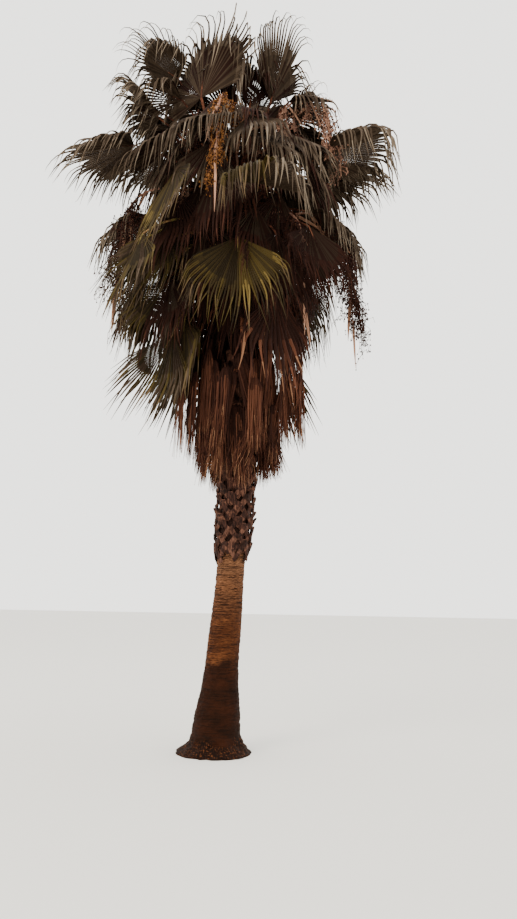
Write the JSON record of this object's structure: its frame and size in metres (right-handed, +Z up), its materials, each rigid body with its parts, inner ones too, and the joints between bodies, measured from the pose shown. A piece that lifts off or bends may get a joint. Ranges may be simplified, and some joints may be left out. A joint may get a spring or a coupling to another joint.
{
  "type": "fan palm tree",
  "caption": "Tall fan palm: a slightly leaning trunk with a flared foot and a collar of cut leaf bases, a skirt of dead fronds and a round crown of drooping fan fronds.",
  "frame": {"origin": "middle of the flat cut at ground level, under the trunk's foot", "axes": "+Z up along the trunk towards the crown; -Y towards the side that the tree is seen from; the trunk leans towards +X"},
  "size_m": [4.2494, 3.9487, 8.6056],
  "materials": {
    "trunk_bark": "rough ringed bark",
    "frond_green": "satin leaf",
    "frond_dead": "dry matt leaf",
    "fruit_stalk": "dry matt stalk"
  },
  "bodies": {
    "root": {"trunk": "trunk_bark", "fruit_stalk_1": "fruit_stalk", "fruit_stalk_2": "fruit_stalk", "fruit_stalk_3": "fruit_stalk", "fruit_stalk_4": "fruit_stalk", "fruit_stalk_5": "fruit_stalk", "fruit_stalk_6": "fruit_stalk", "fruit_stalk_7": "fruit_stalk", "young_frond_1": "frond_green", "young_frond_2": "frond_green", "crest_frond_1": "frond_green", "crest_frond_2": "frond_green", "crest_frond_3": "frond_green", "crest_frond_4": "frond_green", "upper_frond_1": "frond_green", "upper_frond_2": "frond_green", "upper_frond_3": "frond_green", "upper_frond_4": "frond_green", "upper_frond_5": "frond_green", "upper_frond_6": "frond_green", "middle_frond_1": "frond_green", "middle_frond_2": "frond_green", "middle_frond_3": "frond_green", "middle_frond_4": "frond_green", "middle_frond_5": "frond_green", "middle_frond_6": "frond_green", "middle_frond_7": "frond_green", "inner_frond_1": "frond_green", "inner_frond_2": "frond_green", "inner_frond_3": "frond_green", "inner_frond_4": "frond_green", "inner_frond_5": "frond_green", "drooping_frond_1": "frond_green", "drooping_frond_2": "frond_green", "drooping_frond_3": "frond_green", "lower_frond_1": "frond_green", "lower_frond_2": "frond_green", "lower_frond_3": "frond_green", "lower_frond_4": "frond_green", "lower_frond_5": "frond_green", "lower_frond_6": "frond_green", "lower_frond_7": "frond_green", "lower_frond_8": "frond_green", "hanging_frond_1": "frond_green", "hanging_frond_2": "frond_green", "hanging_frond_3": "frond_green", "hanging_frond_4": "frond_green", "dead_outer_frond_1": "frond_dead", "dead_outer_frond_2": "frond_dead", "dead_outer_frond_3": "frond_dead", "dead_outer_frond_4": "frond_dead", "dead_outer_frond_5": "frond_dead", "dead_outer_frond_6": "frond_dead", "dead_outer_frond_7": "frond_dead", "dead_inner_frond_1": "frond_dead", "dead_inner_frond_2": "frond_dead", "dead_inner_frond_3": "frond_dead", "dead_inner_frond_4": "frond_dead", "dead_inner_frond_5": "frond_dead", "dead_inner_frond_6": "frond_dead"}
  },
  "joints": []
}
